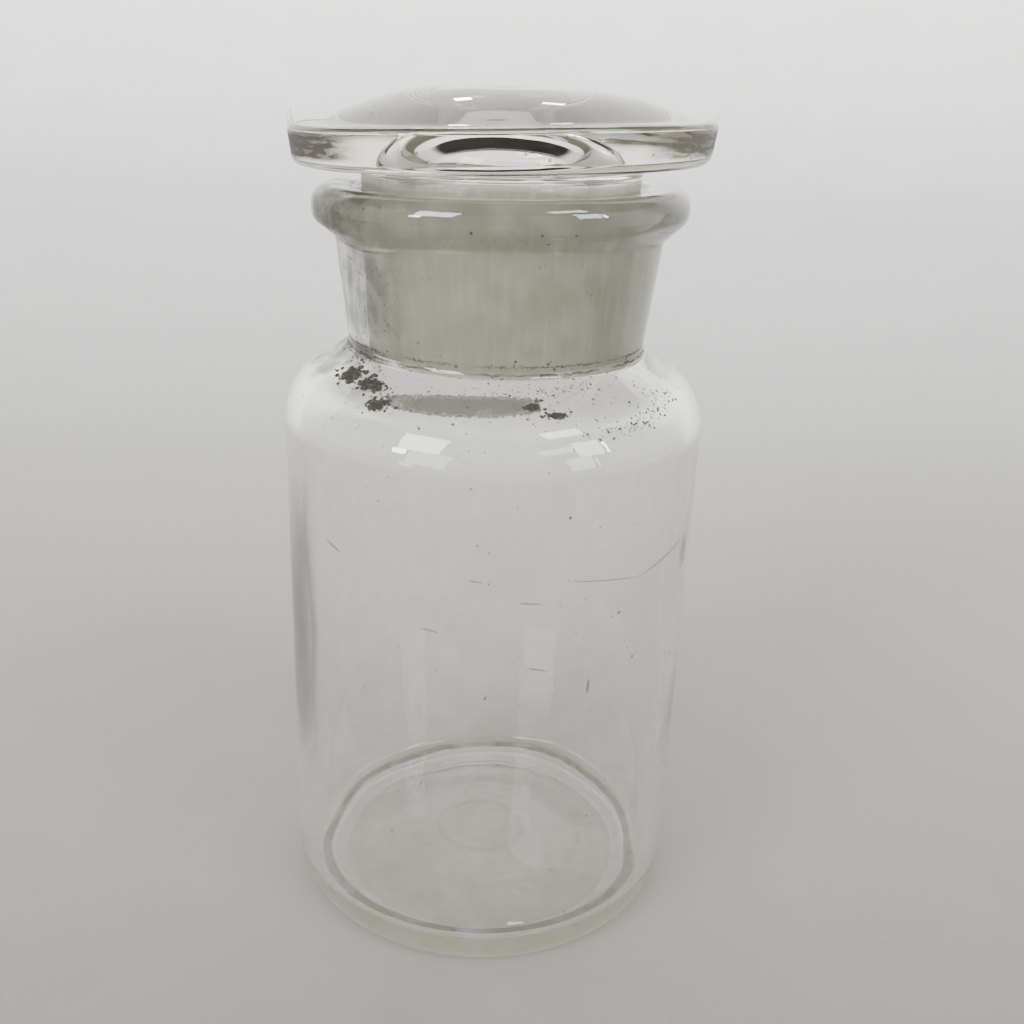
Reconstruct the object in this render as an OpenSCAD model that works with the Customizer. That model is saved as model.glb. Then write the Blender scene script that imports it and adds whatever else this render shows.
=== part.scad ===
// Wide-mouth glass reagent bottle with a disc-headed ground-glass stopper.
// Millimetres, +Z up. The origin is the centre of the base, on the plane that the bottle stands on.
// Both parts are bodies of revolution about Z, shown with the stopper seated in the neck.

/* [Body] */
// Radius of the body just above the heel
body_bottom_r = 26.9; // [24:0.1:27]
// Radius of the body where the shoulder starts
body_top_r = 27.1; // [27:0.1:30]
// Thickness of the body wall
wall = 2.3; // [1.8:0.1:3.2]
// Radius of the rounded heel
heel_round = 4; // [2.5:0.5:5]
// Thickness of the floor where it meets the wall
floor_thickness = 3.6; // [2.6:0.2:5]
// Radius of the rounding inside, between the floor and the wall
floor_corner_round = 1.4; // [0.8:0.2:3]
// Height of the shallow dome pressed up into the underside
push_up = 1.2; // [0.4:0.2:1.8]
// Inner radius of the flat ring that the bottle stands on
foot_ring_inner_r = 20; // [16:0.5:21]

/* [Shoulder] */
// Height at which the body wall and the shoulder slope would meet as sharp lines
shoulder_z = 72.6; // [66:0.1:74]
// Radius of the rounding between the body and the shoulder
shoulder_round = 8; // [5:0.5:10]

/* [Neck] */
// Height of the crease between the shoulder and the neck
neck_base_z = 77.6; // [76.5:0.1:79]
// Outer radius of the neck at that crease
neck_base_r = 18.75; // [18.4:0.05:19.5]
// Outer radius of the neck just under the lip
neck_top_r = 20.4; // [20:0.1:21]

/* [Lip] */
// Height at which the lip bead grows out of the neck
lip_base_z = 91.2; // [90:0.1:92]
// Height of the top of the lip
lip_top_z = 97.5; // [96.5:0.1:98]
// Outer radius of the lip bead
lip_r = 23.3; // [22.5:0.1:24]
// Radius of the mouth where the lip turns in
mouth_r = 18.3; // [18.1:0.1:19]

/* [Ground joint] */
// Radius of the plug at the upper end of the ground band
ground_top_r = 16.9; // [16.5:0.05:17.1]
// Height of the upper end of the ground band
ground_top_z = 93; // [92:0.5:94]
// Growth of the plug's radius for each millimetre of height
ground_taper = 0.05; // [0.03:0.005:0.06]
// Radial gap between the plug and the neck
joint_gap = 0.03; // [0.02:0.01:0.06]

/* [Stopper] */
// Height of the lower end of the plug
plug_bottom_z = 77.2; // [77:0.1:80]
// Height of the underside of the head where it meets the plug
head_underside_z = 99.1; // [98.5:0.1:100]
// Rise of that underside from the plug out to the rim
head_rise = 0.9; // [0.2:0.1:1.2]
// Radius of the head at its lower edge
head_lower_r = 25.2; // [24:0.1:25.5]
// Radius of the head at its upper edge
head_upper_r = 25.85; // [25.6:0.05:26.5]
// Height of the flat brim at the head's upper edge
brim_z = 104.6; // [104:0.1:105.5]
// Width of that brim
brim_w = 2.8; // [2:0.1:4]
// Radius of the rounding at the rim's lower edge
rim_lower_round = 1.2; // [0.6:0.2:1.6]
// Radius of the rounding at the rim's upper edge
rim_upper_round = 0.6; // [0.4:0.2:1.2]
// Height of the crown of the head
crown_z = 108.7; // [107.5:0.1:110]
// Radius at which the crown's flat top would turn down as a sharp line
crown_turn_r = 12.8; // [10:0.1:15]
// Radius of the hollow at the open lower end of the plug
hollow_mouth_r = 12; // [11:0.1:14]
// Radius of the hollow where its rounded ceiling starts
hollow_top_r = 10.2; // [8:0.1:11]
// Height of the ceiling of the hollow
hollow_ceiling_z = 104.8; // [98:0.1:105]
// Radius of the rounding at the edge of that ceiling
hollow_round = 5.2; // [2:0.2:6]

/* [Hidden] */

// Facets around each part
around = 120;
// Straight steps in each rounded corner of an outline
corner_steps = 10;
// Radii of the soft bends between the brim and the dome, and at the turn of the dome's crown
brim_blend = 6;
crown_blend = 45;

// The shoulder slope runs from the crease down to the body, and the inside follows it one wall below.
shoulder_slope = (neck_base_z - shoulder_z) / (body_top_r - neck_base_r);
shoulder_drop = wall * sqrt(1 + pow(shoulder_slope, 2));
inner_r = body_top_r - wall;
bore_top_r = ground_top_r + joint_gap;
// Height at which the tapered bore and the inner slope of the shoulder would meet
bore_bottom_z = neck_base_z - shoulder_drop - shoulder_slope * (bore_r(neck_base_z) - neck_base_r);

// Radius of the plug, and of the bore around it, at height z
function plug_r(z) = ground_top_r + ground_taper * (z - ground_top_z);
function bore_r(z) = plug_r(z) + joint_gap;

function unit(v) = v / norm(v);
// The shorter turn from angle a to angle b
function turn(a, b) = let (t = b - a) t > 180 ? t - 360 : t < -180 ? t + 360 : t;

// An arc that rounds the corner b, between the edges to a and c. b[2] is its radius.
function corner_arc(a, b, c) =
    let (
        p = [b[0], b[1]],
        u = unit([a[0], a[1]] - p),
        v = unit([c[0], c[1]] - p),
        half = acos(u * v) / 2,
        centre = p + unit(u + v) * b[2] / sin(half),
        first = p + u * b[2] / tan(half) - centre,
        last = p + v * b[2] / tan(half) - centre,
        start = atan2(first[1], first[0]),
        sweep = turn(start, atan2(last[1], last[0]))
    )
    [for (i = [0:corner_steps]) let (t = start + sweep * i / corner_steps) centre + b[2] * [cos(t), sin(t)]];

// An outline of [radius, height, rounding] corners, with each rounding above zero made an arc
function rounded(corners) =
    let (n = len(corners))
    [
        for (i = [0:n - 1])
            each corners[i][2] == 0
                ? [[corners[i][0], corners[i][1]]]
                : corner_arc(corners[(i + n - 1) % n], corners[i], corners[(i + 1) % n])
    ];

bottle_outline = [
    // Underside: the pressed-up dome, then the flat ring
    [0, push_up, 0],
    [foot_ring_inner_r * 0.6, push_up, 30],
    [foot_ring_inner_r, 0, 1.5],
    // Outside, from the heel up to the lip
    [body_bottom_r, 0, heel_round],
    [body_top_r, shoulder_z, shoulder_round],
    [neck_base_r, neck_base_z, 1.2],
    [neck_top_r, lip_base_z, 1],
    [lip_r, lip_base_z + 2.5, 2],
    [lip_r - 0.1, lip_top_z, 2.1],
    // The mouth, the tapered bore and the inside of the body
    [mouth_r, lip_top_z - 0.2, 1.2],
    [bore_top_r, ground_top_z, 2],
    [bore_r(bore_bottom_z), bore_bottom_z, 1],
    [inner_r, shoulder_z - shoulder_drop, shoulder_round - wall],
    [inner_r - 0.2, floor_thickness, floor_corner_round],
    [0, floor_thickness + 0.4, 0],
];

stopper_outline = [
    // The hollow, from its ceiling down to its open end
    [0, hollow_ceiling_z, 0],
    [hollow_top_r, hollow_ceiling_z, hollow_round],
    [hollow_mouth_r, plug_bottom_z, 0.8],
    // The plug and the neck of clear glass above it
    [plug_r(plug_bottom_z), plug_bottom_z, 0.8],
    [plug_r(head_underside_z), head_underside_z, 0.8],
    // The disc head and its low crown
    [head_lower_r, head_underside_z + head_rise, rim_lower_round],
    [head_upper_r, brim_z, rim_upper_round],
    [head_upper_r - brim_w, brim_z + 0.1, brim_blend],
    [crown_turn_r, crown_z, crown_blend],
    [0, crown_z, 0],
];

// The blown bottle: body, shoulder, neck and fire-polished lip in one piece of clear glass
module bottle() {
    color([0.86, 0.88, 0.85, 0.35])
        rotate_extrude($fn = around)
            polygon(rounded(bottle_outline));
}

// The pressed stopper: a hollow tapered plug under a domed disc that is lifted by its rim
module stopper() {
    color([0.80, 0.82, 0.78, 0.5])
        rotate_extrude($fn = around)
            polygon(rounded(stopper_outline));
}

bottle();
stopper();
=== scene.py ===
import math

import bmesh
import bpy
import numpy as np
from mathutils import Matrix, Vector


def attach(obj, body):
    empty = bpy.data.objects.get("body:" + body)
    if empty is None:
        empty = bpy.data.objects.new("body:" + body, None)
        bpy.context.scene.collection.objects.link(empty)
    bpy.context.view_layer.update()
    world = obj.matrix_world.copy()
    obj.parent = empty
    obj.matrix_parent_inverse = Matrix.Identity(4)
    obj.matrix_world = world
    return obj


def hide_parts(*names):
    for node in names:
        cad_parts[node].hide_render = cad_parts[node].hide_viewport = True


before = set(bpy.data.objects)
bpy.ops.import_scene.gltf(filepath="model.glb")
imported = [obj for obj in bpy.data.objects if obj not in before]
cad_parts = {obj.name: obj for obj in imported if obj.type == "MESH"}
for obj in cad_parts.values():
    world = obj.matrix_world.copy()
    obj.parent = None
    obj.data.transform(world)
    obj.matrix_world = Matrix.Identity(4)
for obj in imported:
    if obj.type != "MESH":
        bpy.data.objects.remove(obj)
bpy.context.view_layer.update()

MM = 0.001

# ---------------------------------------------------------------------------
# The camera. A phone held level with the top of the stopper, about fifteen
# centimetres away, looking down at the bottle and leaning slightly.
# ---------------------------------------------------------------------------
camera_distance = 145.0 * MM
camera_height = 108.8 * MM
look_down = math.radians(20.64)
look_right = math.radians(1.15)
lean = math.radians(2.26)

camera = bpy.data.objects.new("camera", bpy.data.cameras.new("camera"))
camera.data.sensor_width = 36.0
camera.data.lens = 39.9
camera.data.clip_start = 0.005
camera.data.clip_end = 20.0
camera.matrix_world = (
    Matrix.Translation((0, -camera_distance, camera_height))
    @ Matrix.Rotation(-look_right, 4, "Z")
    @ Matrix.Rotation(math.pi / 2 - look_down, 4, "X")
    @ Matrix.Rotation(lean, 4, "Z")
)
bpy.context.scene.collection.objects.link(camera)
bpy.context.scene.camera = camera


# ---------------------------------------------------------------------------
# The studio. A sheet of pale paper lies on the table and sweeps up behind the
# bottle. Two windows stand to the left and right of the camera, and two small
# lamps shine from behind. All of it is scenery and no part of the bottle.
# ---------------------------------------------------------------------------
class Wire:
    """A number in a shader. Arithmetic on it adds Math nodes to the tree it belongs to."""

    def __init__(self, tree, socket):
        self.tree = tree
        self.socket = socket

    def math(self, operation, *values):
        return put(self.tree, "ShaderNodeMath", {"operation": operation}, values)

    def __add__(self, other):
        return self.math("ADD", self, other)

    def __sub__(self, other):
        return self.math("SUBTRACT", self, other)

    def __rsub__(self, other):
        return self.math("SUBTRACT", other, self)

    def __mul__(self, other):
        return self.math("MULTIPLY", self, other)

    def __neg__(self):
        return self.math("MULTIPLY", self, -1.0)

    __radd__ = __add__
    __rmul__ = __mul__

    def root(self):
        return self.math("SQRT", self)

    def size(self):
        return self.math("ABSOLUTE", self)

    def most(self, other):
        return self.math("MAXIMUM", self, other)

    def least(self, other):
        return self.math("MINIMUM", self, other)


def put(tree, kind, settings, values, out=0):
    """Adds a node: its settings first, then the value or wire of each socket, by place or by name."""
    node = tree.nodes.new(kind)
    stops = settings.pop("stops", None)
    for name, value in settings.items():
        setattr(node, name, value)
    if stops is not None:
        ramp = node.color_ramp
        while len(ramp.elements) < len(stops):
            ramp.elements.new(0.5)
        for element, (place, colour) in zip(ramp.elements, stops):
            element.position = place
            element.color = (*colour, 1.0)
    pairs = values.items() if isinstance(values, dict) else enumerate(values)
    for key, value in pairs:
        if isinstance(value, Wire):
            tree.links.new(value.socket, node.inputs[key])
        elif value is not None:
            node.inputs[key].default_value = value
    return Wire(tree, node.outputs[out])


def blank_material(name):
    """A material with an empty node tree."""
    material = bpy.data.materials.new(name)
    material.use_nodes = True
    material.node_tree.nodes.clear()
    return material


def show(material, surface, volume=None):
    """Connects a finished shader, and what fills the inside, to the material's output."""
    tree = material.node_tree
    output = tree.nodes.new("ShaderNodeOutputMaterial")
    tree.links.new(surface.socket, output.inputs["Surface"])
    if volume is not None:
        tree.links.new(volume.socket, output.inputs["Volume"])


def fade(value, start, end):
    """0 where the value is at or below start, 1 at or beyond end, with a smooth change between."""
    settings = {"interpolation_type": "SMOOTHSTEP"}
    return put(value.tree, "ShaderNodeMapRange", settings, {0: value, 1: start, 2: end, 3: 0.0, 4: 1.0})


def mesh_object(name, points, faces, smooth=True):
    """Links a new mesh object made from points in metres and faces as point numbers."""
    mesh = bpy.data.meshes.new(name)
    mesh.from_pydata([tuple(p) for p in points], [], faces)
    mesh.validate()
    mesh.update()
    mesh.polygons.foreach_set("use_smooth", [smooth] * len(mesh.polygons))
    made = bpy.data.objects.new(name, mesh)
    bpy.context.scene.collection.objects.link(made)
    return made


paper_half_width = 900 * MM
paper_front = -900 * MM
paper_bend_start = 180 * MM
paper_bend_radius = 260 * MM
paper_top = 545 * MM
bend_steps = 40

sweep = [(paper_front, 0.0), (paper_bend_start, 0.0)]
for step in range(1, bend_steps + 1):
    turn = math.pi / 2 * step / bend_steps
    sweep.append(
        (
            paper_bend_start + paper_bend_radius * math.sin(turn),
            paper_bend_radius * (1 - math.cos(turn)),
        )
    )
sweep.append((paper_bend_start + paper_bend_radius, paper_top))
paper_points = [(side * paper_half_width, y, z) for y, z in sweep for side in (-1, 1)]
paper_faces = [(2 * i, 2 * i + 1, 2 * i + 3, 2 * i + 2) for i in range(len(sweep) - 1)]
paper = mesh_object("paper", paper_points, paper_faces)

# Painted shade and light: the paper is darker at the front and paler towards the back. It is faintly mottled,
# with a little dust all over it.
mottle_colour = (0.30, 0.29, 0.28, 1.0)
paper_dust_colour = (0.16, 0.13, 0.10, 1.0)
dust_scale = 160.0
paper_finish = blank_material("paper")
tree = paper_finish.node_tree
spot = put(tree, "ShaderNodeTexCoord", {}, {}, "Object")
back = put(tree, "ShaderNodeSeparateXYZ", {}, {0: spot}, 1)
up = put(tree, "ShaderNodeSeparateXYZ", {}, {0: spot}, 2)
how_far_back = {0: back + 0.8 * up, 1: -60 * MM, 2: 640 * MM, 3: 0.0, 4: 1.0}
pale = put(tree, "ShaderNodeMapRange", {}, how_far_back)
# Painted shade: this ramp darkens the paper towards the front and lightens it towards the back and top, in
# place of lighting.
paper_painted_shade = put(
    tree,
    "ShaderNodeValToRGB",
    {
        "stops": [
            (0.0, (0.152, 0.137, 0.124)),
            (0.21, (0.295, 0.282, 0.270)),
            (0.65, (0.530, 0.532, 0.530)),
            (0.88, (0.940, 0.925, 0.915)),
        ]
    },
    {0: pale},
)
mottle = put(tree, "ShaderNodeTexNoise", {}, {"Vector": spot, "Scale": 60.0, "Detail": 5.0})
paper_shade = put(tree, "ShaderNodeMapRange", {}, {0: mottle, 1: 0.3, 2: 0.7, 3: 0.0, 4: 0.09})
paper_mix = {0: paper_shade, 6: paper_painted_shade, 7: mottle_colour}
paper_colour = put(tree, "ShaderNodeMix", {"data_type": "RGBA"}, paper_mix, 2)
dust_grain = put(tree, "ShaderNodeTexVoronoi", {}, {"Vector": spot, "Scale": dust_scale}, "Distance")
dust_cell = put(tree, "ShaderNodeTexVoronoi", {}, {"Vector": spot, "Scale": dust_scale}, "Color")
dust_luck = put(tree, "ShaderNodeSeparateColor", {}, {0: dust_cell}, 0)
dust = (1.0 - fade(dust_grain, 0.03, 0.09)) * (1.0 - fade(dust_luck, 0.05, 0.12)) * 0.35
dust_mix = {0: dust, 6: paper_colour, 7: paper_dust_colour}
paper_colour = put(tree, "ShaderNodeMix", {"data_type": "RGBA"}, dust_mix, 2)
paper_bump = put(tree, "ShaderNodeBump", {}, {"Height": mottle, "Strength": 0.15, "Distance": 0.4 * MM})
paper_shader = put(
    tree,
    "ShaderNodeBsdfPrincipled",
    {},
    {"Base Color": paper_colour, "Roughness": 0.85, "Normal": paper_bump},
)
show(paper_finish, paper_shader)
paper.data.materials.append(paper_finish)


aim_height = 70 * MM


def window(name, bearing, height_angle, distance, wide, high, strength, colour):
    """A rectangular light. Bearing 0 is over the camera, and it grows to the right."""
    light = bpy.data.lights.new(name, "AREA")
    light.shape = "RECTANGLE"
    light.size = wide
    light.size_y = high
    light.energy = strength * wide * high * math.pi
    light.color = colour
    made = bpy.data.objects.new(name, light)
    bearing = math.radians(bearing)
    height_angle = math.radians(height_angle)
    middle = Vector((0, 0, aim_height))
    away = Vector(
        (
            math.sin(bearing) * math.cos(height_angle),
            -math.cos(bearing) * math.cos(height_angle),
            math.sin(height_angle),
        )
    )
    made.location = middle + distance * away
    made.rotation_mode = "QUATERNION"
    made.rotation_quaternion = away.to_track_quat("Z", "Y")
    made.visible_camera = False
    bpy.context.scene.collection.objects.link(made)
    return made


white = (1.0, 1.0, 1.0)
cool_white = (0.97, 0.99, 1.0)
window("left_window", -39, 27, 0.8, 0.32, 0.34, 26.0, cool_white)
window("left_pane", -49, 11, 0.8, 0.11, 0.10, 70.0, white)
window("right_window_top", 48, 49, 0.8, 0.26, 0.14, 22.0, cool_white)
window("right_window", 53, 22, 0.8, 0.20, 0.30, 18.0, cool_white)
window("right_pane", 63, 20, 0.8, 0.02, 0.22, 70.0, white)
back_lamp_left = window("back_lamp_left", -173, 35, 0.36, 0.012, 0.012, 90.0, white)
back_lamp_left.visible_transmission = False
window("back_lamp_right", 174, 38, 0.36, 0.016, 0.008, 45.0, white)

# Two large lights stand in for what the room scatters. The glass neither mirrors nor shows them.
scattered_lights = [("paper_light", -25, 58, 3.9), ("wall_paper_light", 15, 30, 4.3)]
for name, bearing, height_angle, strength in scattered_lights:
    scattered = window(name, bearing, height_angle, 1.1, 1.0, 1.0, strength, white)
    scattered.visible_glossy = False
    scattered.visible_transmission = False

# The room: light walls at the sides and the back, a dimmer one behind the camera, and a dark ceiling.
world = bpy.data.worlds.new("room")
world.use_nodes = True
tree = world.node_tree
tree.nodes.clear()
direction = put(tree, "ShaderNodeTexCoord", {}, {})
up = put(tree, "ShaderNodeSeparateXYZ", {}, {0: direction}, 2)
behind = put(tree, "ShaderNodeSeparateXYZ", {}, {0: direction}, 1)
wall_light = 1.0 - fade(up, 0.38, 0.60)
room_strength = wall_light * (0.7 + 0.8 * fade(behind, -0.75, 0.1)) + 0.006
room = put(tree, "ShaderNodeBackground", {}, {"Color": (0.95, 0.96, 0.97, 1.0), "Strength": room_strength})
output = tree.nodes.new("ShaderNodeOutputWorld")
tree.links.new(room.socket, output.inputs["Surface"])
bpy.context.scene.world = world

# Light goes through many faces of glass before it leaves a stoppered bottle.
light_paths = bpy.context.scene.cycles
light_paths.max_bounces = 24
light_paths.transmission_bounces = 24
light_paths.glossy_bounces = 12
light_paths.caustics_refractive = False
light_paths.caustics_reflective = False


# ---------------------------------------------------------------------------
# The bottle. Blown into a mould in one piece of clear, faintly olive glass,
# with a fire-polished bead for a lip and a bore ground to a taper. It is
# scratched on the body and grimy round the foot of the neck.
# ---------------------------------------------------------------------------
def unit(v):
    return v / np.linalg.norm(v)


def rounded(corners, steps):
    """An outline of [radius, height, rounding] corners in mm, each rounding made an arc of so many steps."""
    outline = []
    for i, corner in enumerate(corners):
        point = np.array(corner[:2], float)
        if corner[2] == 0:
            outline.append(point)
            continue
        u = unit(np.array(corners[i - 1][:2]) - point)
        v = unit(np.array(corners[(i + 1) % len(corners)][:2]) - point)
        half = math.acos(u @ v) / 2
        centre = point + unit(u + v) * corner[2] / math.sin(half)
        first = point + u * corner[2] / math.tan(half) - centre
        last = point + v * corner[2] / math.tan(half) - centre
        start = math.atan2(first[1], first[0])
        sweep = (math.atan2(last[1], last[0]) - start + math.pi) % (2 * math.pi) - math.pi
        for step in range(steps + 1):
            t = start + sweep * step / steps
            outline.append(centre + corner[2] * np.array([math.cos(t), math.sin(t)]))
    return outline


def filled_in(outline, longest):
    """The outline with extra points along any stretch that is longer than a given length."""
    fine = [outline[0]]
    for a, b in zip(outline, outline[1:]):
        parts = max(1, math.ceil(np.linalg.norm(b - a) / longest))
        fine += [a + (b - a) * i / parts for i in range(1, parts + 1)]
    return fine


def lathe(name, outline, around, bent, finish):
    """Turns an outline in mm, from axis to axis, into one closed mesh that bent then moves a little."""
    outline = np.array(outline)
    first, last = outline[0], outline[-1]
    rings = outline[1:-1]
    angles = 2 * math.pi * np.arange(around) / around
    points = np.zeros((len(rings), around, 3))
    points[..., 0] = rings[:, None, 0] * np.sin(angles)
    points[..., 1] = -rings[:, None, 0] * np.cos(angles)
    points[..., 2] = rings[:, None, 1]
    points = np.vstack([points.reshape(-1, 3), [0, 0, first[1]], [0, 0, last[1]]])
    points = bent(points) * MM
    bottom, top = len(points) - 2, len(points) - 1
    faces = []
    for j in range(around):
        k = (j + 1) % around
        faces.append((bottom, k, j))
        for i in range(len(rings) - 1):
            low, high = i * around, (i + 1) * around
            faces.append((low + j, low + k, high + k, high + j))
        end = (len(rings) - 1) * around
        faces.append((end + j, end + k, top))
    made = mesh_object(name, points, faces)
    made.data.materials.append(finish)
    return made


def smooth_step(value, start, end):
    """0 below start and 1 above end, with a smooth change between, for numbers in Python."""
    t = np.clip((value - start) / (end - start), 0, 1)
    return t * t * (3 - 2 * t)


body_bottom_r = 26.9
body_top_r = 27.1
wall = 2.3
heel_round = 4
floor_z = 3.6
floor_middle_z = 4.0
floor_corner_round = 1.4
push_up = 1.2
foot_ring_inner_r = 20
shoulder_z = 72.6
shoulder_round = 8
neck_base_z = 77.6
neck_base_r = 18.75
neck_top_r = 20.4
lip_base_z = 91.2
lip_top_z = 97.5
lip_r = 23.3
mouth_r = 18.3
ground_top_z = 93.0
ground_top_r = 16.9
ground_taper = 0.05
joint_gap = 0.03

shoulder_slope = (neck_base_z - shoulder_z) / (body_top_r - neck_base_r)
shoulder_drop = wall * math.sqrt(1 + shoulder_slope**2)


def plug_r(z):
    return ground_top_r + ground_taper * (z - ground_top_z)


bore_bottom_z = (
    neck_base_z - shoulder_drop - shoulder_slope * (plug_r(neck_base_z) + joint_gap - neck_base_r)
)

bottle_corners = [
    (0, push_up, 0),
    (12, push_up, 30),
    (foot_ring_inner_r, 0, 1.5),
    (body_bottom_r, 0, heel_round),
    (body_top_r, shoulder_z, shoulder_round),
    (neck_base_r, neck_base_z, 1.2),
    (neck_top_r, lip_base_z, 1),
    (lip_r, lip_base_z + 2.5, 2),
    (lip_r - 0.1, lip_top_z, 2.1),
    (mouth_r, lip_top_z - 0.2, 1.2),
    (ground_top_r + joint_gap, ground_top_z, 2),
    (plug_r(bore_bottom_z) + joint_gap, bore_bottom_z, 1),
    (body_top_r - wall, shoulder_z - shoulder_drop, shoulder_round - wall),
    (body_top_r - wall - 0.2, floor_z, floor_corner_round),
    (0, floor_middle_z, 0),
]
around = 240
corner_steps = 14
lip_lean = 0.02


def bottle_bent(points):
    """The uneven hand of the maker: wavy walls, and a lip that leans and wanders."""
    x, y, z = points.T
    r = np.hypot(x, y)
    t = np.arctan2(x, -y)
    outer = np.where(z < shoulder_z, r > 26, r > 18.2)
    bore = (r < 18.2) & (z > neck_base_z - 4) & (z < ground_top_z + 1)
    wave = np.sin(3 * t + z / 9.0) + 0.7 * np.sin(5 * t - z / 5.5 + 1.0) + 0.5 * np.sin(2 * t + z / 3.4 + 2.0)
    body = smooth_step(z, 6, 14) * (1 - smooth_step(z, 66, 72))
    inner_wall = body * ~outer * (r > 20)
    dr = 0.055 * wave * inner_wall - 0.012 * (1 + wave / 2.2) * body * outer
    lip = smooth_step(z, lip_base_z - 2, lip_base_z + 2) * ~bore
    below_bead = smooth_step(z, lip_base_z - 3, lip_base_z)
    sag = below_bead * (1 - smooth_step(z, lip_base_z + 1.2, lip_base_z + 3.6)) * outer
    wander = 0.30 * np.sin(2 * t + 0.6) + 0.22 * np.sin(5 * t + 2.1) + 0.12 * np.sin(9 * t)
    dz = lip * (lip_lean * x - 0.1) + sag * wander
    dr = dr - 0.05 * lip * (1 + np.sin(3 * t + 1.0)) * outer
    scale = 1 + dr / np.maximum(r, 1)
    return np.column_stack([x * scale, y * scale, z + dz])


def where(tree):
    """A point: its place, bearing in degrees (0 in front, + to the right), and radius and height in mm."""
    spot = put(tree, "ShaderNodeTexCoord", {}, {}, "Object")
    x, y, z = (put(tree, "ShaderNodeSeparateXYZ", {}, {0: spot}, axis) * (1 / MM) for axis in range(3))
    bearing = x.math("ARCTAN2", x, -y) * (180 / math.pi)
    return spot, bearing, (x * x + y * y).root(), z


def cloud(spot, size, detail=3.0):
    """Soft noise from 0 to 1 with lumps of about a given size in mm."""
    values = {"Vector": spot, "Scale": 1 / (size * MM), "Detail": detail}
    return put(spot.tree, "ShaderNodeTexNoise", {}, values)


def grains(spot, size, share):
    """1 on small round grains. A cell of a given size in mm has one if its luck is within the share."""
    far = put(spot.tree, "ShaderNodeTexVoronoi", {}, {"Vector": spot, "Scale": 1 / (size * MM)}, "Distance")
    colour = Wire(spot.tree, far.socket.node.outputs["Color"])
    luck = put(spot.tree, "ShaderNodeSeparateColor", {}, {0: colour}, 0)
    return (1.0 - fade(far, 0.14, 0.34)) * luck.math("LESS_THAN", luck, share)


def blot(across, height, middle, size, rag):
    """1 in an oval with a ragged edge. Its middle and half size are in degrees across and mm high."""
    u = (across - middle[0]) * (1 / size[0])
    v = (height - middle[1]) * (1 / size[1])
    return 1.0 - fade((u * u + v * v).root() + rag, 0.7, 1.15)


def stroke(across, height, start, end, thick):
    """1 along a straight scratch between two (bearing, height) places, thinning towards its ends."""
    run = (end[0] - start[0], end[1] - start[1])
    along = (across - start[0]) * (1 / run[0])
    off = height - start[1] - along * run[1]
    ends = fade(along, 0.0, 0.3) * (1.0 - fade(along, 0.7, 1.0))
    return (1.0 - fade(off.size(), thick * 0.3, thick)) * ends


def blend_colour(share, first, second):
    """The first colour with a share of the second one mixed in."""
    return put(share.tree, "ShaderNodeMix", {"data_type": "RGBA"}, {0: share, 6: first, 7: second}, 2)


def mixed(tree, share, first, second):
    """Two shaders blended: the second one shows by the given share."""
    return put(tree, "ShaderNodeMixShader", {}, {0: share, 1: first, 2: second})


glass_colour = (1.0, 1.0, 0.995, 1.0)
glass_ior = 1.52
glass_tint = (0.80, 0.80, 0.68, 1.0)
glass_tint_density = 22.0
shadow_tint = (0.90, 0.895, 0.87, 1.0)
frost_colour = (0.140, 0.142, 0.096, 1.0)
dust_colour = (0.46, 0.46, 0.43, 1.0)
grease_colour = (0.052, 0.052, 0.040, 1.0)
grime_colour = (0.014, 0.012, 0.009, 1.0)
# This dark colour serves for settled dirt inside the bottle and for a painted shade down its left edge.
settled_and_shade_colour = (0.060, 0.057, 0.040, 1.0)
scuff_colour = (0.25, 0.25, 0.215, 1.0)
# Partly wear and partly painted light: the pale tone of the ring it stands on lifts the shade under the foot.
foot_wear_and_light_colour = (0.78, 0.77, 0.73, 1.0)
stain_colour = (0.125, 0.120, 0.072, 1.0)
stain_speck_colour = (0.10, 0.07, 0.04, 1.0)
pale_frost_colour = (0.235, 0.235, 0.195, 1.0)


def clear_glass(tree, roughness, normal):
    """Clear glass that lets lamps light what is behind it."""
    glass = put(
        tree,
        "ShaderNodeBsdfPrincipled",
        {},
        {
            "Base Color": glass_colour,
            "Roughness": roughness,
            "IOR": glass_ior,
            "Transmission Weight": 1.0,
            "Normal": normal,
        },
    )
    lit_through = put(tree, "ShaderNodeBsdfTransparent", {}, {"Color": shadow_tint})
    return mixed(tree, put(tree, "ShaderNodeLightPath", {}, {}, "Is Shadow Ray"), glass, lit_through)


def tinted(tree):
    """What fills all the glass: a faint olive tint that shows in the thick places."""
    return put(tree, "ShaderNodeVolumeAbsorption", {}, {"Color": glass_tint, "Density": glass_tint_density})


def matt(tree, colour, roughness, normal=None):
    """A dull opaque coat, such as ground glass, dust or grime."""
    values = {"Base Color": colour, "Roughness": roughness, "Normal": normal}
    return put(tree, "ShaderNodeBsdfPrincipled", {}, values)


def glass_ripple(spot, size, strength):
    """The slight unevenness of blown or pressed glass, as a bump."""
    ripple = cloud(spot, size, 2.0)
    values = {"Height": ripple, "Strength": strength, "Distance": 0.1 * MM}
    return put(spot.tree, "ShaderNodeBump", {}, values)


bottle_finish = blank_material("bottle_glass")
tree = bottle_finish.node_tree
spot, bearing, radius, height = where(tree)
patchy = cloud(spot, 4.0, 4.0)
rag = (cloud(spot, 1.1, 3.0) - 0.5) * 1.6
fine_rag = (cloud(spot, 0.35, 3.0) - 0.5) * 2.0
long_ways = put(tree, "ShaderNodeMapping", {}, {"Vector": spot, "Scale": (1.0, 1.0, 0.12)})
streak = cloud(long_ways, 0.9, 3.0)

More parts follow.
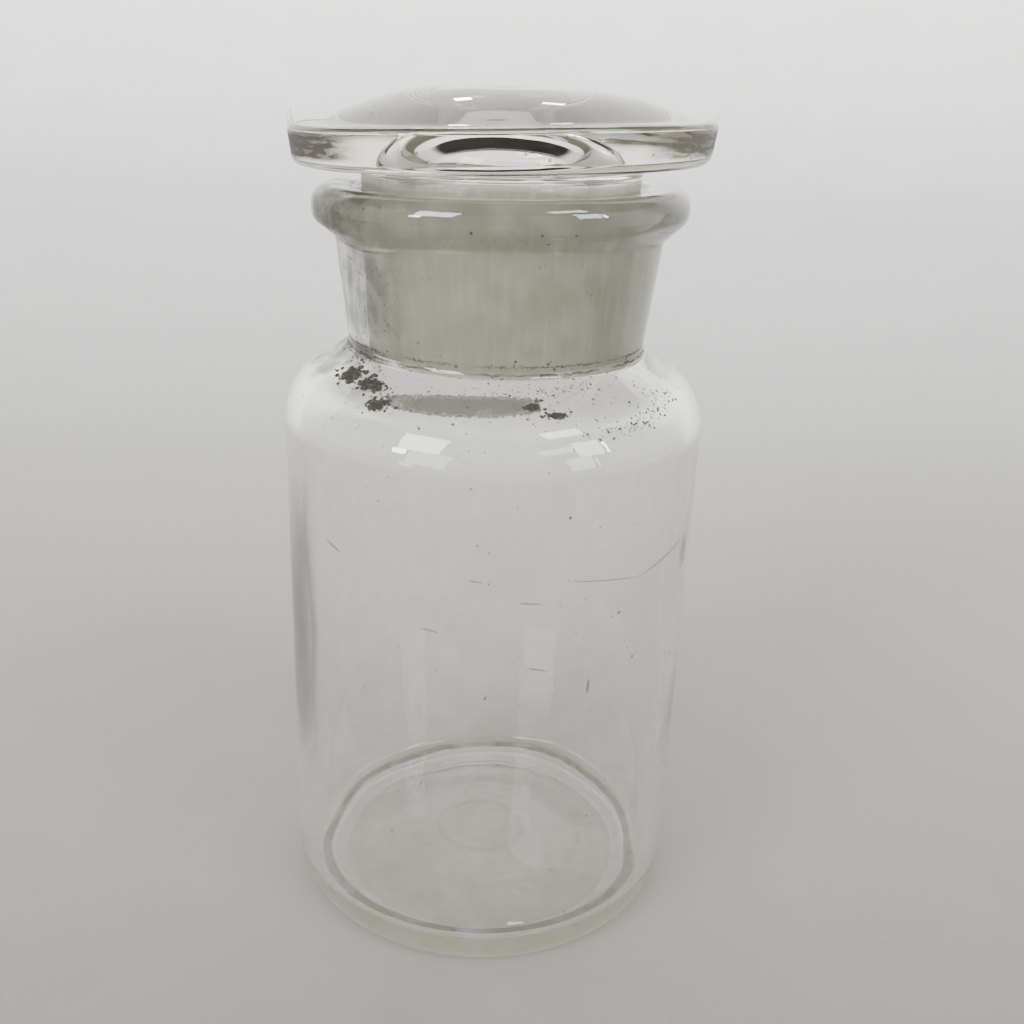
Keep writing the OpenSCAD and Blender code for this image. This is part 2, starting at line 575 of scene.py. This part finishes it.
# Which side of the wall a point is on: the shoulder slopes, and the rest is told by the radius.
above_slope = height + shoulder_slope * (radius - neck_base_r)
shoulder_outside = fade(above_slope, neck_base_z - 1.7, neck_base_z - 1.5) * (1.0 - fade(radius, 25.9, 26.0))
outside = shoulder_outside.most(fade(radius, 25.9, 26.0)) * fade(radius, 18.2, 18.3)
inside = 1.0 - outside
in_bore = (1.0 - fade(radius, 17.9, 18.15)) * fade(height, 75.6, 76.2) * (1.0 - fade(height, 96.0, 97.0))

# Grime caked on the shoulder and in the crease round the neck, with specks and scratches above and below.
on_shoulder = fade(height, 69, 73) * (1.0 - fade(height, 79, 80.5))
clumps = blot(bearing, height, (-52, 75.9), (5.0, 0.75), rag + fine_rag * 0.4)
clumps = clumps.most(blot(bearing, height, (-40.5, 75.6), (5.5, 0.55), rag + fine_rag * 0.4))
clumps = clumps.most(blot(bearing, height, (-33.5, 74.2), (3.6, 0.55), fine_rag))
clumps = clumps.most(blot(bearing, height, (10.8, 75.2), (2.2, 0.35), fine_rag))
clumps = clumps.most(blot(bearing, height, (17.0, 74.4), (3.6, 0.32), fine_rag + 0.1))
off_arc = height - 72.0 - 0.0022 * (bearing - 24.0) * (bearing - 24.0)
arc = 1.0 - fade(off_arc.size(), 0.3, 1.1)
arc = arc * fade(bearing, 22, 34) * (1.0 - fade(bearing, 66, 74))
band = 1.0 - fade((height - 76.4).size(), 0.15, 0.8)
band = band * fade(bearing, -12, 4) * (1.0 - fade(bearing, 30, 42))
left_haze = fade(height, 73.5, 75.5) * (1.0 - fade(bearing, -50, -36)) * fade(bearing, -120, -85)
fine_share = 0.008 + 0.05 * on_shoulder + 0.8 * arc + 0.8 * band * fade(patchy, 0.4, 0.5) + 0.3 * left_haze
coarse_share = 0.006 + 0.5 * arc * fade(patchy, 0.4, 0.55) + 0.05 * on_shoulder
speck = grains(spot, 0.42, fine_share).most(grains(spot, 0.75, coarse_share))
crease = 1.0 - fade((height - 77.8 + rag * 0.4).size(), 0.04, 0.20)
upper_crease = 1.0 - fade((height - 78.7 + fine_rag * 0.5).size(), 0.02, 0.16)
crease = crease.most(upper_crease) * fade(patchy, 0.34, 0.56) * 0.85

# Each scratch: where it starts and ends, as bearing and height, and its half thickness in mm.
scratches = [
    ((-47, 57.0), (-40, 56.0), 0.16),
    ((17, 55.6), (44, 53.9), 0.09),
    ((40, 53.8), (66, 56.4), 0.15),
    ((7, 53.1), (14, 52.8), 0.12),
    ((-5, 55.8), (-1, 55.6), 0.10),
    ((10, 44.6), (16, 44.0), 0.12),
    ((-17, 49.1), (-12, 48.9), 0.10),
    ((-58, 90.5), (-51, 86.5), 0.10),
    ((-60, 88.0), (-50, 87.4), 0.10),
    ((-63, 92.0), (-54, 90.2), 0.14),
    ((-64, 89.4), (-55, 88.8), 0.10),
    ((-56, 84.6), (-50, 81.8), 0.08),
    ((-44, 83.5), (-34, 80.4), 0.07),
]
scratched = 0.0
for start, end, thick in scratches:
    scratched = stroke(bearing, height, start, end, thick) + scratched
grime = (clumps + speck * 0.85 + crease + scratched * 0.7).least(1.0) * outside

# A smear of grease with a cut end, and a thin uneven film of dust.
smear = blot(bearing, height - 75.15 - 0.012 * bearing, (-8.0, 0.0), (25.0, 0.85), fine_rag * 0.4)
smear = smear * (1.0 - fade(bearing, 12.5, 13.5))
left_strip = (1.0 - fade(bearing, -54, -46)) * fade(bearing, -110, -80)
left_strip = left_strip * fade(height, 79, 81) * (1.0 - fade(height, 92, 94))
smear_edge = fade(smear, 0.05, 0.3) * (1.0 - fade(smear, 0.5, 0.95))
smear = (smear * (0.72 + 0.2 * fade(patchy, 0.35, 0.6))).most(smear_edge * 0.9)
grease = smear.most(left_haze * fade(patchy, 0.35, 0.65) * 0.6)
grease = grease.most(left_strip * (0.22 + 0.25 * fade(streak, 0.4, 0.7)))
haze = 0.05 * fade(patchy, 0.4, 0.7) + 0.05
film = haze.most(grease) * outside
film_tone = blend_colour(fade(grease, 0.02, 0.12), dust_colour, grease_colour)

# Inside: a dark band in the corner by the floor, a painted shade down the left edge of the body, a ring on
# the floor, a flake at the back.
# Darker in the corner where the floor meets the wall.
corner = fade(radius, 22.0, 22.5) * (1.0 - fade(radius, 23.3, 23.8)) * (1.0 - fade(height, 4.6, 5.4))
corner = corner * (0.6 + 0.3 * fade(patchy, 0.3, 0.6))
# Painted shade: a dark band down the inside of the left wall, where the edge of the body looks dark.
left_edge_shade = fade(height, 18, 34) * (1.0 - fade(height, 50, 66))
left_edge_shade = left_edge_shade * fade(bearing, -88, -76) * (1.0 - fade(bearing, -66, -52))
ring_mark = (1.0 - fade(height, 4.4, 4.8)) * (1.0 - fade((radius - 6.2).size(), 0.2, 0.7)) * 0.16
flake = blot(bearing, height, (135, 18.0), (0.8, 1.5), rag * 0.4)
settled_and_shade = corner.most(ring_mark).most(flake * 0.9).most(left_edge_shade * 0.8)
settled_and_shade = settled_and_shade * inside * fade(height, 2.4, 2.8)

# The underside is scuffed dull. The ring that it stands on is less scuffed than the middle, and it is painted
# pale, a painted light that lifts the shade under the foot.
underside = (1.0 - fade(height, 2.0, 2.6)) * (1.0 - fade(radius, 25.2, 26.0))
stands = fade(radius, 21.7, 22.5) * underside
scuffed = underside * (0.40 + 0.12 * fade(patchy, 0.35, 0.6)) * (1.0 - stands * 0.8)
scuff_and_light_tone = blend_colour(stands, scuff_colour, foot_wear_and_light_colour)

# The ground bore is frosted all round at the top. Lower down the frost runs from the left of the front
# round the right side to the back, where it stops on a straight edge, and the rest is clear. A stain
# crosses the front.
stain = blot(bearing, height, (32, 86.6), (30, 2.6), rag * 0.8)
frost_tone = blend_colour(stain * 0.5, frost_colour, stain_colour)
frost_tone = blend_colour(0.3 * fade(streak, 0.4, 0.75), frost_tone, pale_frost_colour)
stain_speck = grains(spot, 0.45, 0.003 + 0.35 * stain * fade(patchy, 0.45, 0.6))
frost_tone = blend_colour(stain_speck * 0.8, frost_tone, stain_speck_colour)
frost_share = fade(bearing + (patchy - 0.5) * 24, -48, -34).most(fade(height, 91.0, 93.5)) * in_bore * 0.88
frost_grain = put(tree, "ShaderNodeBump", {}, {"Height": streak, "Strength": 0.5, "Distance": 0.05 * MM})

glass = clear_glass(tree, 0.0, glass_ripple(spot, 7.0, 0.25))
frosted = mixed(tree, frost_share, glass, matt(tree, frost_tone, 0.6, frost_grain))
dusty = mixed(tree, film, frosted, matt(tree, film_tone, 0.8))
scuffed_and_lit_glass = mixed(tree, scuffed, dusty, matt(tree, scuff_and_light_tone, 0.6))
settled_and_shaded_glass = mixed(tree, settled_and_shade, scuffed_and_lit_glass, matt(tree, settled_and_shade_colour, 0.9))
dirty = mixed(tree, grime, settled_and_shaded_glass, matt(tree, grime_colour, 0.9))
show(bottle_finish, dirty, tinted(tree))

bottle_outline = filled_in(rounded(bottle_corners, corner_steps), 1.5)
bottle = lathe("bottle_glass", bottle_outline, around, bottle_bent, bottle_finish)
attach(bottle, "bottle")
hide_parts("bottle")


# ---------------------------------------------------------------------------
# The grime on the shoulder: crumbs of dry dirt caked below the neck, thickest
# at the left. They stand a little proud of the glass.
# ---------------------------------------------------------------------------
outer_outline = np.array([p for p in bottle_outline if p[1] > 60 and p[0] > 18.7 and p[1] < 90])
outer_outline = outer_outline[np.argsort(outer_outline[:, 1])]

# Each heap: its bearing and height, how far it spreads in degrees and mm, its crumbs, and their size in mm.
heaps = [
    (-52, 75.9, 3.4, 0.5, 46, 0.34),
    (-41, 75.7, 4.0, 0.35, 44, 0.34),
    (-33, 74.3, 3.0, 0.35, 34, 0.24),
    (11, 75.2, 1.8, 0.25, 14, 0.24),
    (17, 74.5, 3.0, 0.2, 18, 0.20),
    (30, 72.4, 5.0, 0.35, 26, 0.13),
    (45, 72.9, 5.0, 0.4, 30, 0.16),
    (58, 74.2, 4.5, 0.5, 30, 0.18),
    (20, 76.4, 10.0, 0.3, 34, 0.13),
    (-10, 74.3, 16.0, 0.5, 22, 0.10),
    (-62, 77.2, 7.0, 0.5, 26, 0.15),
    (0, 77.5, 45.0, 0.15, 40, 0.12),
]
slope_starts_z = 74
slope_tilt = -55
wall_tilt = -20
luck = np.random.default_rng(7)
crumbs = bmesh.new()
for heap_bearing, heap_height, wide, high, count, size in heaps:
    for _ in range(count):
        t = math.radians(heap_bearing + wide * luck.normal())
        z = min(heap_height + high * luck.normal(), 78.0)
        r = np.interp(z, outer_outline[:, 1], outer_outline[:, 0])
        lump = size * luck.uniform(0.35, 1.0)
        place = (
            Matrix.Translation(Vector((r * math.sin(t), -r * math.cos(t), z)) * MM)
            @ Matrix.Rotation(t, 4, "Z")
            @ Matrix.Rotation(math.radians(slope_tilt if z > slope_starts_z else wall_tilt), 4, "X")
            @ Matrix.Diagonal((lump * luck.uniform(0.8, 1.6) * MM, lump * 0.55 * MM, lump * MM, 1.0))
        )
        made = bmesh.ops.create_icosphere(crumbs, subdivisions=2, radius=1.0, matrix=place)
        for vertex in made["verts"]:
            vertex.co += Vector(luck.normal(size=3)) * lump * 0.10 * MM
grime_mesh = bpy.data.meshes.new("shoulder_grime")
crumbs.to_mesh(grime_mesh)
crumbs.free()
grime_piece = bpy.data.objects.new("shoulder_grime", grime_mesh)
bpy.context.scene.collection.objects.link(grime_piece)

dark_dirt_colour = (0.007, 0.006, 0.005, 1.0)
pale_dirt_colour = (0.035, 0.030, 0.022, 1.0)
dirt_finish = blank_material("dry_grime")
tree = dirt_finish.node_tree
spot = put(tree, "ShaderNodeTexCoord", {}, {}, "Object")
dirt_lumps = cloud(spot, 0.25, 4.0)
dirt_tone = blend_colour(fade(dirt_lumps, 0.35, 0.65), dark_dirt_colour, pale_dirt_colour)
dirt_bump = put(tree, "ShaderNodeBump", {}, {"Height": dirt_lumps, "Strength": 0.8, "Distance": 0.08 * MM})
show(dirt_finish, matt(tree, dirt_tone, 0.75 + 0.2 * dirt_lumps, dirt_bump))
grime_piece.data.materials.append(dirt_finish)
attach(grime_piece, "bottle")


# ---------------------------------------------------------------------------
# The stopper. Pressed in one piece: a domed disc that is lifted by its rim,
# on a hollow plug whose outside is ground to fit the neck. The head leans
# slightly up to the right.
# ---------------------------------------------------------------------------
plug_bottom_z = 77.2
head_underside_z = 99.1
head_rise = 0.9
head_lower_r = 25.2
head_upper_r = 25.85
brim_z = 104.6
brim_w = 2.8
crown_z = 108.7
crown_turn_r = 12.8
hollow_mouth_r = 12.0
hollow_top_r = 10.2
hollow_ceiling_z = 104.8
hollow_round = 5.2
head_lean = 0.040
stopper_corners = [
    (0, hollow_ceiling_z, 0),
    (hollow_top_r, hollow_ceiling_z, hollow_round),
    (hollow_mouth_r, plug_bottom_z, 0.8),
    (plug_r(plug_bottom_z), plug_bottom_z, 0.8),
    (plug_r(head_underside_z), head_underside_z, 0.8),
    (head_lower_r, head_underside_z + head_rise, 1.2),
    (head_upper_r, brim_z, 0.6),
    (head_upper_r - brim_w, brim_z + 0.1, 6),
    (crown_turn_r, crown_z, 45),
    (0, crown_z, 0),
]


def stopper_bent(points):
    """The head leans up to the right above the plug, and its rim is not quite even."""
    x, y, z = points.T
    r = np.hypot(x, y)
    t = np.arctan2(x, -y)
    above = smooth_step(z, head_underside_z - 1.6, head_underside_z + 1.4)
    rim = above * smooth_step(r, 19, 24)
    dz = above * head_lean * x * smooth_step(r, 4, 18) + 0.07 * rim * np.sin(3 * t + 0.8)
    dr = -0.05 * rim * (1 + np.sin(2 * t + 1.0) * 0.6 + np.sin(5 * t) * 0.4)
    scale = 1 + dr / np.maximum(r, 1)
    return np.column_stack([x * scale, y * scale, z + dz])


plug_colour = (0.175, 0.175, 0.142, 1.0)
pale_plug_colour = (0.29, 0.29, 0.255, 1.0)
rim_grime_colour = (0.065, 0.058, 0.043, 1.0)
left_rim_grime_colour = (0.036, 0.032, 0.024, 1.0)
stopper_finish = blank_material("stopper_glass")
tree = stopper_finish.node_tree
spot, bearing, radius, height = where(tree)
patchy = cloud(spot, 3.5, 4.0)
in_hollow = (1.0 - fade(radius, 13.0, 13.2)) * (1.0 - fade(height, 105.2, 105.3))
on_head = (1.0 - in_hollow) * fade(height, head_underside_z - 0.2, head_underside_z)
on_plug = (1.0 - in_hollow) * (1.0 - fade(height, head_underside_z - 0.8, head_underside_z - 0.3))

# Brown grime streaked along the rim at both sides, dust in its upper edge and specks all over.
flat_ways = put(tree, "ShaderNodeMapping", {}, {"Vector": spot, "Scale": (0.25, 0.25, 1.6)})
rim_streak = cloud(flat_ways, 0.8, 3.0)
sideways = bearing.size()
level = height - head_lean * put(tree, "ShaderNodeSeparateXYZ", {}, {0: spot}, 0) * (1 / MM)
rim = fade(radius, 24.2, 25.0) * fade(sideways, 32, 50) * (1.0 - fade(sideways, 125, 150))
rim = rim * fade(level, 100.7, 101.5) * (1.0 - fade(level, 103.2, 104.2))
top_edge = fade(radius, 23.6, 24.8) * fade(height, 103.4, 104.6) * fade(patchy, 0.42, 0.62)
left_side = 1.0 - fade(bearing, -40, -30)
rim = rim * (0.68 + 0.3 * fade(rim_streak, 0.42, 0.55) + 0.2 * left_side)
film = rim.least(1.0).most(top_edge * 0.35)
film = film.most(0.05 * fade(patchy, 0.4, 0.7) + 0.02) * on_head
speck = grains(spot, 0.8, 0.02 + 0.12 * fade(radius, 22.0, 24.5) * fade(patchy, 0.5, 0.6)) * on_head

# The plug is ground all over its outside, and less deeply where it stands clear of the neck.
long_ways = put(tree, "ShaderNodeMapping", {}, {"Vector": spot, "Scale": (1.0, 1.0, 0.15)})
streak = cloud(long_ways, 1.0, 3.0)
plug_tone = blend_colour(fade(streak, 0.4, 0.7) * 0.4, plug_colour, pale_plug_colour)
plug_share = (0.9 - 0.35 * fade(height, 96.5, 98.5)) * on_plug
plug_grain = put(tree, "ShaderNodeBump", {}, {"Height": streak, "Strength": 0.5, "Distance": 0.05 * MM})

glass = clear_glass(tree, 0.0, glass_ripple(spot, 5.0, 0.2))
frosted = mixed(tree, plug_share, glass, matt(tree, plug_tone, 0.6, plug_grain))
rim_tone = blend_colour(left_side, rim_grime_colour, left_rim_grime_colour)
dusty = mixed(tree, film, frosted, matt(tree, rim_tone, 0.7))
dirty = mixed(tree, speck * 0.7, dusty, matt(tree, grime_colour, 0.9))
show(stopper_finish, dirty, tinted(tree))

stopper_outline = filled_in(rounded(stopper_corners, corner_steps), 1.5)
stopper = lathe("stopper_glass", stopper_outline, around, stopper_bent, stopper_finish)
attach(stopper, "stopper")
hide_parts("stopper")


# ---------------------------------------------------------------------------
# The lint: a few stray fibres caught in the grease on the rim, all but one of
# them at the left. They are thin closed tubes that ride on the stopper.
# ---------------------------------------------------------------------------
def curved(points, parts):
    """A smooth line through given points."""
    points = np.array(points, float)
    ends = np.vstack([2 * points[0] - points[1], points, 2 * points[-1] - points[-2]])
    line = []
    for a, b, c, d in zip(ends, ends[1:], ends[2:], ends[3:]):
        for t in np.arange(parts) / parts:
            slope = c - a
            bend = 2 * a - 5 * b + 4 * c - d
            twist = 3 * b - a - 3 * c + d
            line.append(0.5 * (2 * b + slope * t + bend * t**2 + twist * t**3))
    return np.array(line + [points[-1]])


def fibre(line, thick, sides, first):
    """The points and faces of a thin closed tube along a line, tapered at both ends, numbered from first."""
    points = []
    faces = []
    for i, here in enumerate(line):
        ahead = unit(line[min(i + 1, len(line) - 1)] - line[max(i - 1, 0)])
        across = unit(np.cross(ahead, (0.31, 0.87, 0.39)))
        other = np.cross(ahead, across)
        r = thick * (0.4 + 0.6 * math.sin(math.pi * (i + 0.5) / len(line)))
        for s in range(sides):
            a = 2 * math.pi * s / sides
            points.append(here + r * (math.cos(a) * across + math.sin(a) * other))
        for s in range(sides):
            if i:
                n = first + i * sides
                k = (s + 1) % sides
                faces.append((n - sides + s, n - sides + k, n + k, n + s))
    faces.append(tuple(first + s for s in reversed(range(sides))))
    faces.append(tuple(first + (len(line) - 1) * sides + s for s in range(sides)))
    return points, faces


def on_rim(bearing, out, up):
    """A place beside the head's upper edge, in mm outwards and upwards from it."""
    t = math.radians(bearing)
    r = head_upper_r - 0.15 + out
    x = r * math.sin(t)
    return (x, -r * math.cos(t), brim_z + head_lean * x + up)


# Each fibre: its thickness, and its points as bearing, mm outwards and mm upwards from the edge.
fibres = [
    (0.035, [(-80, -0.3, 0.0), (-79, 0.0, 0.5), (-79, 0.1, 1.1), (-80, 0.0, 1.4)]),
    (0.045, [(-73, -0.6, 0.1), (-72, -0.3, 0.8), (-72, -0.2, 1.4), (-74, -0.3, 1.6), (-76, -0.4, 1.3)]),
    (0.030, [(-84, -0.2, 0.1), (-78, -0.1, 0.25), (-72, -0.3, 0.3), (-66, -0.2, 0.15)]),
    (0.050, [(-70, -0.5, 0.05), (-66, -0.9, 0.35), (-62, -1.6, 0.5), (-58, -2.6, 0.6)]),
    (0.025, [(-64, -0.4, 0.1), (-60, -0.1, 0.5), (-57, -0.4, 0.7), (-54, -0.9, 0.5), (-52, -0.8, 0.25)]),
    (0.030, [(-90, -0.3, 0.1), (-88, -0.1, 0.6), (-85, -0.2, 0.7), (-83, -0.4, 0.3)]),
    (0.025, [(72, -0.3, 0.1), (74, -0.1, 0.5), (77, 0.0, 0.6), (79, -0.3, 0.3)]),
]
fibre_points = []
fibre_faces = []
for thick, places in fibres:
    points, faces = fibre(curved([on_rim(*p) for p in places], 8), thick, 6, len(fibre_points))
    fibre_points += points
    fibre_faces += faces
lint = mesh_object("rim_lint", np.array(fibre_points) * MM, fibre_faces)

dark_lint_colour = (0.16, 0.10, 0.07, 1.0)
pale_lint_colour = (0.34, 0.27, 0.20, 1.0)
lint_finish = blank_material("lint")
tree = lint_finish.node_tree
spot = put(tree, "ShaderNodeTexCoord", {}, {}, "Object")
fluff = cloud(spot, 0.4, 3.0)
lint_tone = blend_colour(fluff, dark_lint_colour, pale_lint_colour)
lint_bump = put(tree, "ShaderNodeBump", {}, {"Height": fluff, "Strength": 0.4, "Distance": 0.02 * MM})
show(lint_finish, matt(tree, lint_tone, 0.85, lint_bump))
lint.data.materials.append(lint_finish)
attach(lint, "stopper")
